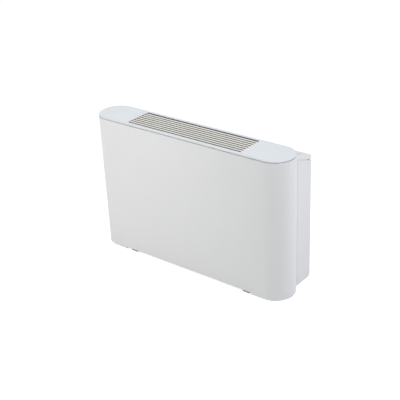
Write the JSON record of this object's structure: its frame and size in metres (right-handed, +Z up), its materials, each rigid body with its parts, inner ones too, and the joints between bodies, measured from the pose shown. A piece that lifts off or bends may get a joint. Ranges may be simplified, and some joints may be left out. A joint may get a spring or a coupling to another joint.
{
  "type": "fan coil unit",
  "caption": "Cased fan coil unit: rounded white sheet steel cabinet with a bar grille on top, stepped rear casing, slide-out filter, blowers, motor and water coil inside.",
  "frame": {"origin": "centre of the footprint on the floor", "axes": "+X along the cabinet to the right seen from the front, +Y to the wall, +Z up"},
  "size_m": [0.838, 0.22, 0.53],
  "materials": {
    "casing_paint": "satin white stoved paint on sheet steel",
    "cap_paint": "satin off-white moulded cap",
    "grille_paint": "pale warm grey painted aluminium bars",
    "galvanised": "galvanised sheet with faint spangle",
    "rubber": "matt black rubber",
    "motor_paint": "dark grey enamel",
    "cast_alloy": "cast aluminium",
    "steel": "bright zinc plated steel",
    "wheel_alloy": "rolled aluminium",
    "fin_alloy": "thin aluminium fins",
    "copper": "drawn copper tube",
    "brass": "turned brass",
    "tray_plastic": "dark grey moulded tray",
    "box_plastic": "grey moulded box",
    "black_plastic": "black polyamide",
    "filter_plastic": "mid grey moulded plastic",
    "netting": "fine woven netting",
    "foam": "closed cell foam sheet"
  },
  "bodies": {
    "cabinet": {"front_casing": "casing_paint", "top_cap": "cap_paint", "grille_bars": "grille_paint", "grille_combs": "black_plastic", "rear_panel": "casing_paint", "rear_side_left": "casing_paint", "rear_side_right": "casing_paint", "rear_top_cover": "casing_paint", "chassis_side_left": "galvanised", "chassis_side_right": "galvanised", "fan_deck": "galvanised", "outlet_collar": "black_plastic", "coil_baffle": "galvanised", "filter_rail_left": "galvanised", "filter_rail_right": "galvanised", "scroll_left": "galvanised", "scroll_right": "galvanised", "motor_cradle": "galvanised", "motor_rubber_rings": "rubber", "motor_shell": "motor_paint", "motor_end_shields": "cast_alloy", "stator_core": "steel", "motor_bearings": "steel", "coil_fins": "fin_alloy", "coil_tubes": "copper", "coil_end_plates": "galvanised", "supply_header": "copper", "return_header": "copper", "supply_union": "brass", "return_union": "brass", "air_vent_body": "brass", "drip_tray": "tray_plastic", "terminal_box": "box_plastic", "terminal_box_lid": "box_plastic", "terminal_block": "black_plastic", "run_capacitor": "cast_alloy", "cable_gland": "black_plastic", "insulation_front": "foam", "cap_screws": "steel", "deck_screws": "steel", "lid_screws": "steel", "casing_nuts": "steel"},
    "rotor": {"motor_shaft": "steel", "rotor_core": "steel", "impeller_blades_left": "wheel_alloy", "impeller_blades_right": "wheel_alloy", "impeller_rings_left": "wheel_alloy", "impeller_rings_right": "wheel_alloy", "impeller_disc_left": "wheel_alloy", "impeller_disc_right": "wheel_alloy"},
    "filter": {"filter_frame": "filter_plastic", "filter_mesh": "netting", "filter_tab_left": "filter_plastic", "filter_tab_right": "filter_plastic"},
    "bleed_screw": {"air_vent_screw": "steel"}
  },
  "joints": [
    {"name": "fan_spin", "type": "hinge", "parent": "cabinet", "child": "rotor", "pos_m": [0, 0.0068, 0.122], "axis": [1, 0, 0], "continuous": true},
    {"name": "filter_slide", "type": "slide", "parent": "cabinet", "child": "filter", "axis": [0, -1, 0], "range_m": [0, 0.19]},
    {"name": "vent_turn", "type": "hinge", "parent": "cabinet", "child": "bleed_screw", "pos_m": [-0.333, 0.02759, 0.42204], "axis": [-1, 0, 0], "range_deg": [0, 180]}
  ]
}
